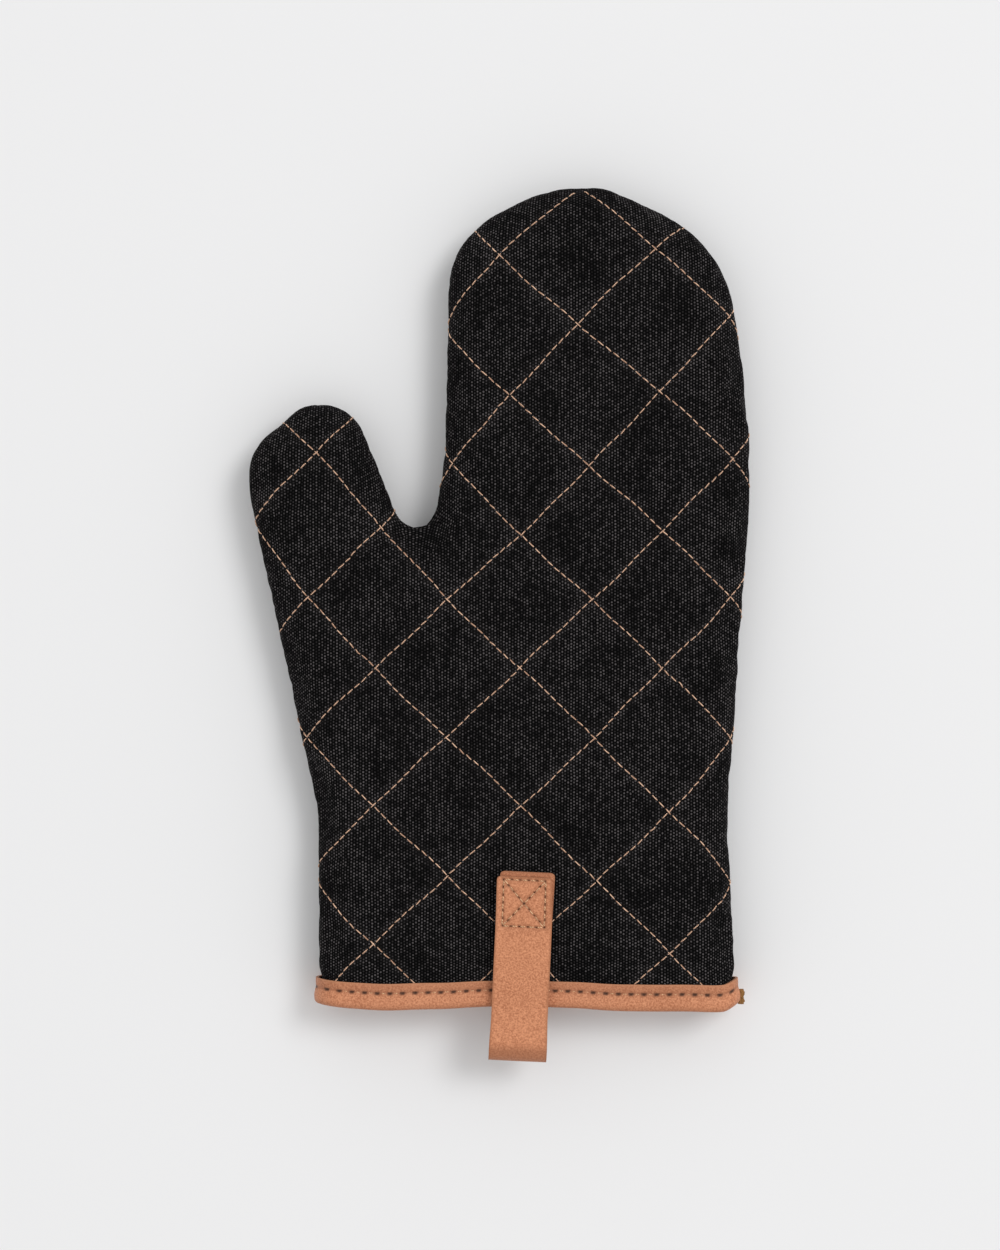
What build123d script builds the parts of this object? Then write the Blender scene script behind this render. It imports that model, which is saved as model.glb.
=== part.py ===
"""Quilted oven mitt with a leather-bound cuff and a leather hanging loop.

The mitt lies flat and empty on its back panel. +Z is up, +Y runs from the cuff
to the fingertips and +X runs from the thumb to the outer side of the hand. The
origin is the centre of the footprint, on the surface that the mitt lies on.

Each panel is a canvas face, a layer of batting and a cotton lining. Every layer
is cut at the finger fold and at the thumb fold, where the cloth bends, and the
strap of the loop is cut at the crease where it lifts.
"""

import os
from math import cos, radians, sin

from build123d import *

os.makedirs("parts", exist_ok=True)

# Overall size
mitt_length = 320.0  # cuff edge to fingertips
mitt_thickness = 24.0  # both panels, lying flat and empty
finger_width = 118.0  # across the four fingers
thumb_spread = 77.0  # thumb's outer side to the side of the fingers
loop_reach = 20.2  # how far the hanging loop runs past the cuff edge

# Heights above the cuff edge
wrist_height = 75.0
palm_corner_height = 200.0
thumb_height = 235.0
crotch_height = 188.0

# Outline details
cuff_thumb_inset = 27.0  # cuff's thumb side, in from the thumb's outer side
cuff_outer_inset = 6.0
wrist_outer_inset = 9.5
thumb_tip_drop = 17.5
thumb_tip_start = 19.5
thumb_tip_width = 21.0
thumb_rounding = 0.24 * thumb_spread  # keeps the rounded corners of the tip apart
crotch_radius = thumb_rounding - 10.5  # a narrower thumb makes a tighter crotch
crotch_depth = 21.0  # from the bottom of the crotch to where its sides would meet
crotch_offset = 9.3
finger_side_start = 27.0
finger_side_lean = 1.0
little_finger_drop = 22.0
little_finger_inset = 11.0
index_finger_drop = 19.5
tip_flat_start = 39.5
tip_flat_width = 22.0
side_upper_drop = 86.5
side_lower_drop = 122.5

# Cloth
canvas_thickness = 0.9
batting_thickness = 4.5
lining_thickness = 0.5
seam_band = 2.0  # flat band round the side, where the panels meet

# Quilting
quilting_spacing = 38.6
quilting_angle = 44.2
quilting_thread = 0.6
thread_depth = 0.35
quilting_margin = 1.0  # kept back from the rounded edge and from the binding
first_crossing = (7.8, 132.4)  # from the centre line and the cuff edge

# Side seam
side_seam_inset = 2.7
side_seam_thread = 0.6

# Cuff binding
binding_width = 10.5
binding_thickness = 1.1
binding_stitch_inset = 3.7

# Hanging loop
strap_width = 21.5
strap_thickness = 1.6
strap_lean = 2.7
strap_top_height = 53.8
strap_top_x = 10.4
strap_corner = 1.5
sewn_length = 24.0
loop_clearance = 0.3
eye_radius = 5.2
eye_neck = 4.0  # past the cuff edge, where the two legs of the strap part

# Box of stitches on the strap
box_width = 16.2
box_length = 17.9
box_start = 3.1
box_thread = 0.6

# Folds
fold_gap = 0.3
finger_fold_rise = 30.0  # above the crotch
thumb_fold_rise = 18.0
thumb_lean = 21.0

# Lines that the pieces share
half_width = (finger_width + thumb_spread) / 2
thumb_x = -half_width
outer_x = half_width
finger_x = outer_x - finger_width
cuff_y = -(mitt_length + loop_reach) / 2 + loop_reach
tip_y = cuff_y + mitt_length
thumb_y = cuff_y + thumb_height
wrist_y = cuff_y + wrist_height
crotch_x = finger_x - crotch_offset
crotch_y = cuff_y + crotch_height
crotch_corner_y = crotch_y - crotch_depth
mid_z = mitt_thickness / 2
top_z = mitt_thickness
edge_radius = (mitt_thickness - seam_band) / 2
wall = canvas_thickness + batting_thickness + lining_thickness
binding_top_y = cuff_y + binding_width
finger_fold_y = crotch_y + finger_fold_rise
reach = mitt_length + loop_reach  # larger than the mitt, for cutting blocks

# The outline runs on past the cuff edge, so that the cuff is cut square.
run_out_y = cuff_y - mitt_thickness - edge_radius
outline_corners = [
    (thumb_x + cuff_thumb_inset, run_out_y, edge_radius + wall),
    (thumb_x + cuff_thumb_inset, wrist_y, 130.0),
    (thumb_x, cuff_y + palm_corner_height, 66.0),
    (thumb_x, thumb_y - thumb_tip_drop, 19.5),
    (thumb_x + thumb_tip_start, thumb_y, 0.95 * thumb_rounding),
    (thumb_x + thumb_tip_start + thumb_tip_width, thumb_y, thumb_rounding),
    (crotch_x, crotch_corner_y, crotch_radius),
    (finger_x - finger_side_lean, crotch_y + finger_side_start, 60.0),
    (finger_x + finger_side_lean, tip_y - index_finger_drop, 34.0),
    (finger_x + tip_flat_start, tip_y, 58.0),
    (finger_x + tip_flat_start + tip_flat_width, tip_y, 25.0),
    (outer_x - little_finger_inset, tip_y - little_finger_drop, 52.0),
    (outer_x, tip_y - side_upper_drop, 250.0),
    (outer_x, tip_y - side_lower_drop, 310.0),
    (outer_x - wrist_outer_inset, wrist_y, 310.0),
    (outer_x - cuff_outer_inset, cuff_y, 60.0),
    (outer_x - cuff_outer_inset, run_out_y, edge_radius + wall),
]
outline_points = [(x, y) for x, y, radius in outline_corners]
outline_radii = [radius for x, y, radius in outline_corners]


def save(piece, name):
    """Label a finished piece and write its file."""
    piece.label = name
    export_step(piece, f"parts/{name}.step")
    return piece


def pillow(inset):
    """The mitt as one closed cushion, this far inside its outer surface."""
    with BuildPart() as cushion:
        with BuildSketch(Plane.XY.offset(inset)):
            with BuildLine():
                FilletPolyline(*outline_points, radius=outline_radii, close=True)
            make_face()
            if inset > 0:
                offset(amount=-inset, kind=Kind.ARC)
        extrude(amount=mitt_thickness - 2 * inset)
        faces_z = cushion.faces().sort_by(Axis.Z)
        fillet(faces_z[0].edges() + faces_z[-1].edges(), radius=edge_radius - inset)
    return cushion.part


def ring(outer_inset, inner_inset, y_from, y_to):
    """The shell between two cushions, between two distances from the cuff edge."""
    outer = pillow(outer_inset)
    inner = pillow(inner_inset)
    with BuildPart() as shell:
        add(outer)
        add(inner, mode=Mode.SUBTRACT)
        with Locations((0, cuff_y + (y_from + y_to) / 2, mid_z)):
            Box(reach, y_to - y_from, 2 * mitt_thickness, mode=Mode.INTERSECT)
    return shell.part


def layer(cloth_insets, grip_insets, step_insets):
    """One layer of both panels, pressed thinner where the binding grips it."""
    step_start = binding_width
    step_end = binding_width + canvas_thickness
    gripped = ring(*grip_insets, binding_thickness, step_start)
    step = ring(*step_insets, step_start, step_end)
    loose = ring(*cloth_insets, step_end, reach)
    with BuildPart() as cloth:
        add(gripped)
        add(step)
        add(loose)
    return cloth.part


def quilting_lines(plane):
    """The diamond grid of quilting, kept to the flat of one panel."""
    centre_x, centre_y = first_crossing[0], cuff_y + first_crossing[1]
    line_count = int(reach / quilting_spacing)
    with BuildSketch(plane) as grid:
        for angle in (quilting_angle, -quilting_angle):
            for row in range(-line_count, line_count + 1):
                across = row * quilting_spacing
                place_x = centre_x - across * sin(radians(angle))
                place_y = centre_y + across * cos(radians(angle))
                with Locations((place_x, place_y)):
                    Rectangle(2 * reach, quilting_thread, rotation=angle)
        with BuildSketch(plane, mode=Mode.INTERSECT):
            with BuildLine():
                FilletPolyline(*outline_points, radius=outline_radii, close=True)
            make_face()
            offset(amount=-edge_radius - quilting_margin, kind=Kind.ARC)
            grid_start = binding_top_y + canvas_thickness + quilting_margin
            with Locations((0, grid_start + reach / 2)):
                Rectangle(reach, reach, mode=Mode.INTERSECT)
    return grid.sketch


def thread_net(side):
    """Quilting thread of both directions on one panel, crossing as one net."""
    grid = quilting_lines(Plane.XY.offset(top_z if side == "front" else 0))
    with BuildPart() as net:
        add(grid)
        extrude(amount=-thread_depth if side == "front" else thread_depth)
    return net.part


def half(side):
    """Block that holds one panel, from the middle of the seam outwards."""
    middle = mid_z + (reach / 2 if side == "front" else -reach / 2)
    return Pos(0, 0, middle) * Box(2 * reach, 2 * reach, reach)


def beyond_fold(section, start):
    """Block on the far side of a fold, starting this far past its line."""
    if section == "fingers":
        block = Box(reach, reach, reach, align=(Align.MIN, Align.MIN, Align.CENTER))
        return Pos(crotch_x, finger_fold_y + start, mid_z) * block
    thumb_root = Plane(
        origin=(crotch_x, crotch_y, mid_z),
        x_dir=(cos(radians(thumb_lean)), sin(radians(thumb_lean)), 0),
        z_dir=(0, 0, 1),
    )
    block = Box(reach, reach, reach, align=(Align.MAX, Align.MIN, Align.CENTER))
    return thumb_root.location * Pos(crotch_radius, thumb_fold_rise + start, 0) * block


hand_cutters = [beyond_fold(other, -fold_gap / 2) for other in ("fingers", "thumb")]
section_blocks = {other: beyond_fold(other, fold_gap / 2) for other in ("fingers", "thumb")}
halves = {side: half(side) for side in ("front", "back")}


def cut_section(piece, section):
    """The part of a piece that belongs to one section of the mitt."""
    with BuildPart() as cut:
        add(piece)
        if section == "hand":
            add(hand_cutters, mode=Mode.SUBTRACT)
        else:
            add(section_blocks[section], mode=Mode.INTERSECT)
    return cut.part


# Side seam: a line of thread inside the turned seam, from cuff to cuff.
with BuildPart() as side_seam:
    with BuildSketch(Plane.XY.offset(mid_z - side_seam_thread / 2)):
        with BuildLine():
            FilletPolyline(*outline_points, radius=outline_radii, close=True)
        make_face()
        offset(amount=-side_seam_inset, kind=Kind.ARC)
        with BuildSketch(Plane.XY.offset(mid_z - side_seam_thread / 2), mode=Mode.SUBTRACT):
            with BuildLine():
                FilletPolyline(*outline_points, radius=outline_radii, close=True)
            make_face()
            offset(amount=-side_seam_inset - side_seam_thread, kind=Kind.ARC)
        seam_start = binding_top_y + 2 * canvas_thickness
        with Locations((0, seam_start + reach / 2)):
            Rectangle(reach, reach, mode=Mode.INTERSECT)
    extrude(amount=side_seam_thread)

# Cloth layers, as distances inside the outer surface: loose, gripped by the
# binding, and in the step between the two
batting_inner = canvas_thickness + batting_thickness
grip_canvas = binding_thickness + canvas_thickness
grip_batting = wall - binding_thickness - lining_thickness
grip_lining = wall - binding_thickness
layers = {
    "canvas": layer((0, canvas_thickness), (binding_thickness, grip_canvas), (0, grip_canvas)),
    "batting": layer(
        (canvas_thickness, batting_inner), (grip_canvas, grip_batting), (grip_canvas, grip_batting)
    ),
    "lining": layer((batting_inner, wall), (grip_batting, grip_lining), (grip_batting, wall)),
}
nets = {side: thread_net(side) for side in ("front", "back")}

for side in ("front", "back"):
    for cloth_name, cloth in layers.items():
        with BuildPart() as panel:
            add(cloth)
            add(halves[side], mode=Mode.INTERSECT)
            if cloth_name == "canvas":
                add(nets[side], mode=Mode.SUBTRACT)
            if cloth_name == "batting":
                add(side_seam.part, mode=Mode.SUBTRACT)
        for section in ("hand", "fingers", "thumb"):
            save(cut_section(panel.part, section), f"{side}_{cloth_name}_{section}")
    for section in ("hand", "fingers", "thumb"):
        save(cut_section(nets[side], section), f"{side}_quilting_{section}")
for section in ("hand", "fingers", "thumb"):
    save(cut_section(side_seam.part, section), f"side_seam_thread_{section}")

# Cuff binding: one strip of leather folded over the edge of the mouth
stitch_y = binding_top_y - binding_stitch_inset
stitch_from = thumb_x + cuff_thumb_inset + edge_radius
stitch_to = outer_x - cuff_outer_inset - edge_radius
with BuildPart() as binding_stitching:
    for stitch_z in (thread_depth / 2, top_z - thread_depth / 2):
        with Locations(((stitch_from + stitch_to) / 2, stitch_y, stitch_z)):
            Box(stitch_to - stitch_from, box_thread, thread_depth)
save(binding_stitching.part, "binding_stitching")

outer_flap = ring(0, binding_thickness, 0, binding_width)
folded_edge = ring(0, wall, 0, binding_thickness)
inner_flap = ring(grip_lining, wall, 0, binding_width)
with BuildPart() as cuff_binding:
    add(outer_flap)
    add(folded_edge)
    add(inner_flap)
    add(binding_stitching.part, mode=Mode.SUBTRACT)
save(cuff_binding.part, "cuff_binding")

# Hanging loop: one strap folded double, its two ends sewn to the front panel
lean = radians(strap_lean)
strap_run = (
    strap_top_height + loop_reach - strap_width / 2 * sin(lean)
) / cos(lean)
strap_side = Plane(
    origin=(strap_top_x, cuff_y + strap_top_height, top_z),
    x_dir=(-sin(lean), -cos(lean), 0),
    z_dir=(-cos(lean), sin(lean), 0),
)
strap_top = Plane(
    origin=(strap_top_x, cuff_y + strap_top_height, top_z + 2 * strap_thickness),
    x_dir=(cos(lean), -sin(lean), 0),
    z_dir=(0, 0, 1),
)
double_strap = 2 * strap_thickness

with BuildPart() as loop_box_stitching:
    with BuildSketch(strap_top):
        with Locations((0, -box_start - box_length / 2)):
            Rectangle(box_width, box_length)
            Rectangle(box_width - 2 * box_thread, box_length - 2 * box_thread, mode=Mode.SUBTRACT)
            diagonal = Vector(box_width, box_length)
            for turn in (1, -1):
                Rectangle(
                    diagonal.length - 2 * box_thread,
                    box_thread,
                    rotation=turn * Vector(1, 0).get_angle(diagonal),
                )
    extrude(amount=-thread_depth)
save(loop_box_stitching.part, "loop_box_stitching")

with BuildPart() as hanging_loop_end:
    with BuildSketch(strap_side):
        with Locations(((sewn_length - fold_gap / 2) / 2, strap_thickness)):
            Rectangle(sewn_length - fold_gap / 2, double_strap)
    extrude(amount=strap_width / 2, both=True)
    upright = hanging_loop_end.edges().filter_by(Axis.Z)
    fillet(upright.sort_by(Axis.Y)[-2:], radius=strap_corner)
    add(loop_box_stitching.part, mode=Mode.SUBTRACT)
save(hanging_loop_end.part, "hanging_loop_end")

neck_start = (strap_top_height + eye_neck) / cos(lean)
loop_start = sewn_length + fold_gap / 2
leg = strap_thickness - loop_clearance / 2
with BuildPart() as hanging_loop:
    with BuildSketch(strap_side):
        with BuildSketch(strap_side) as eye:
            with Locations((strap_run - eye_radius, double_strap - eye_radius)):
                Circle(eye_radius)
            with Locations((neck_start, double_strap - leg)):
                Rectangle(2 * leg, 2 * leg)
            make_hull()
            offset(amount=-leg, mode=Mode.SUBTRACT)
        with Locations(((loop_start + neck_start) / 2, double_strap - leg)):
            Rectangle(neck_start - loop_start, 2 * leg)
    extrude(amount=strap_width / 2, both=True)
save(hanging_loop.part, "hanging_loop")
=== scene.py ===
"""Quilted oven mitt with a leather-bound cuff and a leather hanging loop."""
import random
from math import acos, atan2, ceil, cos, hypot, pi, radians, sin, tan

import bpy
import numpy as np
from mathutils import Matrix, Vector
from mathutils.bvhtree import BVHTree
from mathutils.geometry import delaunay_2d_cdt
from mathutils.interpolate import poly_3d_calc
from mathutils.kdtree import KDTree


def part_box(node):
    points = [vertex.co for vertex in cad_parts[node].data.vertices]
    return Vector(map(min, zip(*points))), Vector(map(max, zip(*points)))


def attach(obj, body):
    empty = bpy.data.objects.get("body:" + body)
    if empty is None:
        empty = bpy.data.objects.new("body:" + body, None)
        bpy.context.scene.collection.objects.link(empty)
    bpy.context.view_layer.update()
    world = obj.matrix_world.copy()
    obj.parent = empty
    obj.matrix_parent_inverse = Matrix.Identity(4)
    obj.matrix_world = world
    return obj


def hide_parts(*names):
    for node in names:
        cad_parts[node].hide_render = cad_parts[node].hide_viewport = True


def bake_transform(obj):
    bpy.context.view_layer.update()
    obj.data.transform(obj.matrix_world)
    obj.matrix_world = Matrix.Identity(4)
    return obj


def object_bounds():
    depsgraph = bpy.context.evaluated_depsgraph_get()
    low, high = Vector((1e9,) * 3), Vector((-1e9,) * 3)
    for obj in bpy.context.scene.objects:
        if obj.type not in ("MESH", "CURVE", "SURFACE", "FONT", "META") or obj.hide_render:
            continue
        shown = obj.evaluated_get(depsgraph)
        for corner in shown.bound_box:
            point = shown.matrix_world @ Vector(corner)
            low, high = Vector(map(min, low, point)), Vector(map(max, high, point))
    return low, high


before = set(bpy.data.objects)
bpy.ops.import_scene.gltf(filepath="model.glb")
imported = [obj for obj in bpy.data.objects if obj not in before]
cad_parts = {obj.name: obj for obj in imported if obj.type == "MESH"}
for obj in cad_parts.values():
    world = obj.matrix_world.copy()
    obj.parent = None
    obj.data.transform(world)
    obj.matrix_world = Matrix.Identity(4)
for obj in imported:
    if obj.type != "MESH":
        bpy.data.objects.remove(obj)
cad_low, cad_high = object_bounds()
bpy.ops.object.select_all(action="DESELECT")


# The cut of the cloth. Front and back panels are cut to one outline, sewn face
# to face round the sides and turned, so that the padding rolls over the seam.
cuff_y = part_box("cuff_binding")[0].y
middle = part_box("front_batting_hand")[0].z
half_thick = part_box("front_canvas_hand")[1].z - middle
thumb_side, outer_side, tips = cad_low.x, cad_high.x, cad_high.y
finger_side = outer_side - 0.118
thumb_tip = cuff_y + 0.235
crotch = np.array((finger_side - 0.0093, cuff_y + 0.188))
roll = 0.011  # radius of the padded edge
allowance = roll * (pi / 2 - 1)  # cloth taken up by the roll

# Each corner of the outline and the radius that rounds it, from the thumb side
# of the cuff to its outer side
corners = [
    (thumb_side + 0.027, cuff_y - 0.060, 0),
    (thumb_side + 0.027, cuff_y + 0.075, 0.130),
    (thumb_side, cuff_y + 0.200, 0.066),
    (thumb_side, thumb_tip - 0.0172, 0.0200),
    (thumb_side + 0.0215, thumb_tip + 0.0009, 0.0150),
    (thumb_side + 0.0405, thumb_tip, 0.0175),
    (crotch[0] + 0.0002, crotch[1] - 0.0200, 0.0076),
    (finger_side - 0.001, crotch[1] + 0.027, 0.060),
    (finger_side + 0.001, tips - 0.0195, 0.034),
    (finger_side + 0.0395, tips, 0.058),
    (finger_side + 0.0615, tips, 0.025),
    (outer_side - 0.0102, tips - 0.0215, 0.050),
    (outer_side, tips - 0.0865, 0.250),
    (outer_side, tips - 0.1225, 0.310),
    (outer_side - 0.0085, cuff_y + 0.075, 0.310),
    (outer_side - 0.0052, cuff_y, 0.060),
    (outer_side - 0.0052, cuff_y - 0.060, 0),
]


def even_line(line, step):
    """The same line as evenly spaced points."""
    run = np.concatenate([[0], np.cumsum(np.linalg.norm(np.diff(line, axis=0), axis=1))])
    even = np.linspace(0, run[-1], int(round(run[-1] / step)) + 1)
    return np.stack([np.interp(even, run, line[:, k]) for k in range(line.shape[1])], axis=1)


def round_corners(corners, step):
    """The outline as evenly spaced points, with every corner rounded to its radius."""
    line = [corners[0][:2]]
    for before, corner, after in zip(corners, corners[1:], corners[2:]):
        here = Vector(corner[:2])
        back = (Vector(before[:2]) - here).normalized()
        ahead = (Vector(after[:2]) - here).normalized()
        half_turn = back.angle(ahead) / 2
        centre = here + (back + ahead).normalized() * corner[2] / sin(half_turn)
        first = here + back * corner[2] / tan(half_turn) - centre
        last = here + ahead * corner[2] / tan(half_turn) - centre
        start = atan2(first.y, first.x)
        sweep = (atan2(last.y, last.x) - start + pi) % (2 * pi) - pi
        for angle in start + sweep * np.linspace(0, 1, 40):
            line.append((centre.x + corner[2] * cos(angle), centre.y + corner[2] * sin(angle)))
    line.append(corners[-1][:2])
    return even_line(np.array(line), step)


seam_line = round_corners(corners, 0.00025)
seam_way = np.gradient(seam_line, axis=0)
seam_way /= np.hypot(*seam_way.T)[:, None]
seam_out = np.stack([-seam_way[:, 1], seam_way[:, 0]], axis=1)
cut_line = seam_line + seam_out * allowance
cut_finder = KDTree(len(cut_line))
for number, spot in enumerate(cut_line):
    cut_finder.insert((*spot, 0), number)
cut_finder.balance()


def from_seam(cloth):
    """How far each point of the flat cloth is from the side seam, and the way out to it."""
    nearest = np.array([cut_finder.find((x, y, 0))[1] for x, y in cloth])
    out = seam_out[nearest]
    return -((cloth - cut_line[nearest]) * out).sum(1), out


def ease_in(t):
    """Smooth start and stop between 0 and 1."""
    t = np.clip(t, 0, 1)
    return t * t * (3 - 2 * t)


# The cuff's edge waves a little: how far it rises, at places across the mitt
cuff_wave = (
    (-0.074, 0.0026), (-0.043, 0.0008), (0.008, 0.0024),
    (0.055, 0.0004), (0.086, 0.0002), (0.095, 0.0030),
)


def rise_of_cuff(x):
    """How far the waving edge of the cuff rises at x."""
    places, rises = map(np.array, zip(*cuff_wave))
    at = np.clip(np.searchsorted(places, x) - 1, 0, len(places) - 2)
    t = ease_in((x - places[at]) / (places[at + 1] - places[at]))
    return rises[at] + (rises[at + 1] - rises[at]) * t


def lay(cloth, depth, side, pinch=0.0011):
    """Where points of the flat cloth lie on the mitt, this deep under its outer surface."""
    cloth = np.asarray(cloth, float)
    run_in, out = from_seam(cloth)
    depth = np.broadcast_to(depth, len(cloth))
    angle = np.clip(run_in / roll, 0, pi / 2)
    pinched = pinch * np.exp(-((run_in / 0.0016) ** 2))
    inward = roll - (roll - depth) * np.cos(angle) + np.maximum(run_in - roll * pi / 2, 0)
    plan = cloth - out * (allowance + inward + pinched - run_in)[:, None]
    high = (half_thick - depth) * np.sin(angle)
    slump = 0.0004 * np.sin(cloth[:, 0] / 0.031 + 1.3) * np.sin(cloth[:, 1] / 0.043 + side)
    plan[:, 1] += rise_of_cuff(plan[:, 0]) * (1 - ease_in((cloth[:, 1] - cuff_y) / 0.035))
    return np.column_stack([plan, middle + side * (high + slump * np.sin(angle))])


# Canvas panels: washed near-black canvas, quilted in a diamond grid through the
# batting and the lining. Every diamond is puffed by the padding behind it.
row_spacing = 0.0386
row_angle = radians(44.2)
first_crossing = np.array((0.0078, cuff_y + 0.1324))
row_ways = [np.array((cos(t), sin(t))) for t in (row_angle, -row_angle)]
row_sides = [np.array((-way[1], way[0])) for way in row_ways]
thumb_lean = radians(21)
thumb_way = np.array((-sin(thumb_lean), cos(thumb_lean)))
thumb_root = np.array((cos(thumb_lean), sin(thumb_lean)))
cloth_end = cuff_y + 0.0017  # the cloth stops inside the fold of the binding
grip_end = cuff_y + 0.0095
row_depth = 0.0019  # how deep the stitching pulls the canvas
most_puff = 0.0020
canvas_thick = 0.0008
map_size = 0.4  # how much flat cloth the map of each piece covers

# The cloth creeps under the presser foot: round each of these places, its quilting
# lies this much off a true grid
creep_reach = 0.06
creep = (
    ((-0.078, 0.055), (-0.0056, -0.0037)),
    ((-0.050, 0.000), (0.0021, 0.0010)),
    ((0.000, 0.130), (0.0083, 0.0017)),
    ((0.075, 0.125), (-0.0001, -0.0026)),
    ((0.030, 0.060), (-0.0012, 0.0029)),
    ((0.085, 0.020), (0.0009, -0.0016)),
    ((0.005, -0.040), (-0.0005, -0.0016)),
    ((-0.065, -0.105), (0.0015, -0.0016)),
    ((0.070, -0.105), (-0.0029, 0.0021)),
)


def on_true_grid(cloth):
    """Where points of the flat cloth would be if it hadn't crept."""
    near = [np.exp(-((cloth - place) ** 2).sum(1) / creep_reach**2) for place, _ in creep]
    return cloth + np.transpose(near) @ [shift for _, shift in creep]


def on_cloth(true):
    """The points of the flat cloth that these places on the true grid have crept to."""
    cloth = true
    for _ in range(14):
        cloth = cloth + true - on_true_grid(cloth)
    return cloth


def row_distance(cloth):
    """Distance from each point of the flat cloth to the nearest row of quilting."""
    gaps, true = [], on_true_grid(cloth)
    for across in row_sides:
        rows = (true - first_crossing) @ across / row_spacing
        gaps.append(np.abs(rows - np.round(rows)) * row_spacing)
    return np.minimum(*gaps)


def flat_cloth(cells):
    """Triangles over the flat cloth, this many across a diamond, with edges on the rows."""
    cell = row_spacing / cells
    rim = cut_line[cut_line[:, 1] > cloth_end][:: int(cell / 0.00025)]
    rim[[0, -1], 1] = cloth_end
    across = np.linspace(rim[-1], rim[0], ceil(abs(rim[0, 0] - rim[-1, 0]) / cell) + 1)[1:-1]
    rim = np.vstack([rim, across])
    points = [Vector(p) for p in rim]
    edges = [(i, (i + 1) % len(rim)) for i in range(len(rim))]
    steps = np.array([row_ways[k] / (row_ways[k] @ row_sides[1 - k]) for k in (0, 1)])
    reach = int(0.4 / cell)
    grid = np.array([(i, j) for i in range(-reach, reach + 1) for j in range(-reach, reach + 1)])
    spots = on_cloth(first_crossing + grid @ (steps * cell))
    box = (spots > rim.min(0)).all(1) & (spots < rim.max(0)).all(1)
    grid, spots = grid[box], spots[box]
    clear = (from_seam(spots)[0] > cell * 0.45) & (spots[:, 1] > cloth_end + cell * 0.45)
    off_root = np.abs((spots - crotch) @ thumb_way) > cell * 0.4
    clear &= off_root | ((spots - crotch) @ thumb_root > cell)
    index = {}
    for key, spot in zip(grid[clear], spots[clear]):
        index[tuple(key)] = len(points)
        points.append(Vector(spot))
    for (i, j), at in index.items():
        if i % cells == 0 and (i, j + 1) in index:
            edges.append((at, index[i, j + 1]))
        if j % cells == 0 and (i + 1, j) in index:
            edges.append((at, index[i + 1, j]))
    root = np.array([crotch + thumb_root * t for t in np.arange(0.004, -0.12, -cell)])
    root = root[from_seam(root)[0] > cell * 0.3]
    start = len(points)
    points += [Vector(p) for p in root]
    edges += [(start + i, start + i + 1) for i in range(len(root) - 1)]
    verts, _, faces, _, _, _ = delaunay_2d_cdt(points, edges, [], 1, 1e-7)
    return np.array([tuple(v) for v in verts]), [tuple(f) for f in faces]


def make_mesh(name, points, faces):
    """A new object from points and faces."""
    mesh = bpy.data.meshes.new(name)
    mesh.from_pydata(np.asarray(points).tolist(), [], faces)
    mesh.update()
    piece = bpy.data.objects.new(name, mesh)
    bpy.context.collection.objects.link(piece)
    return piece


def set_all(item, **settings):
    """Set several settings of one thing."""
    for key, value in settings.items():
        setattr(item, key, value)


def active(piece):
    """Select one object alone and make it active."""
    bpy.ops.object.select_all(action="DESELECT")
    piece.select_set(True)
    bpy.context.view_layer.objects.active = piece


def apply_modifier(piece, kind, **settings):
    """Give the active piece one modifier and apply it."""
    modifier = piece.modifiers.new(kind, kind)
    set_all(modifier, **settings)
    bpy.ops.object.modifier_apply(modifier=modifier.name)


def keep(piece, name, values):
    """Keep a number or three for every point of a piece, as an attribute."""
    kind, key = ("FLOAT", "value") if values.ndim == 1 else ("FLOAT_VECTOR", "vector")
    piece.data.attributes.new(name, kind, "POINT").data.foreach_set(key, values.ravel())


def read(items, key, width):
    """One property of all the items, as rows of numbers."""
    values = np.empty(len(items) * width)
    items.foreach_get(key, values)
    return values.reshape(-1, width)


cloth_points, cloth_faces = flat_cloth(13)
seam_gap = from_seam(cloth_points)[0]
near_side = ease_in(seam_gap / (roll * pi / 2))
gripped = 1 - ease_in((cloth_points[:, 1] - grip_end) / 0.007)
sewn_depth = -0.0003 + (row_depth + 0.0003) * near_side
sewn_depth = sewn_depth + (0.0015 - sewn_depth) * gripped
sewn = (row_distance(cloth_points) < 1e-5) | (seam_gap < 1e-4) | (cloth_points[:, 1] < grip_end)
filled = np.clip(row_distance(cloth_points) / 0.014, 0, 1) * np.clip(seam_gap / 0.012, 0, 1) * ~sewn
sewn_shape = lay(cloth_points, sewn_depth, 1)


def padding_push():
    """How far the padding pushes each point of a sewn panel, by cloth simulation."""
    started = sewn_shape + np.outer(0.0007 * filled, (0, 0, 1))
    panel = make_mesh("panel_being_filled", started, cloth_faces)
    active(panel)
    pins = panel.vertex_groups.new(name="sewn")
    pins.add(np.flatnonzero(sewn).tolist(), 1.0, "REPLACE")
    cloth = panel.modifiers.new("Cloth", "CLOTH")
    set_all(
        cloth.settings,
        quality=6,
        mass=0.2,
        tension_stiffness=20,
        compression_stiffness=20,
        shear_stiffness=8,
        bending_stiffness=0.05,
        air_damping=2,
        use_pressure=True,
        uniform_pressure_force=9,
        shrink_min=-0.02,
        vertex_group_mass="sewn",
    )
    cloth.settings.effector_weights.gravity = 0
    cloth.collision_settings.use_collision = False
    cloth.point_cache.frame_start, cloth.point_cache.frame_end = 1, 18
    for number in range(1, 19):
        bpy.context.scene.frame_set(number)
    bpy.ops.object.modifier_apply(modifier="Cloth")
    push = read(panel.data.vertices, "co", 3) - sewn_shape
    bpy.context.scene.frame_set(1)
    bpy.data.objects.remove(panel)
    return push


push = padding_push()
pushed = np.linalg.norm(push, axis=1)
push *= (most_puff * np.tanh(pushed / most_puff) / np.maximum(pushed, 1e-9))[:, None]


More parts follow.
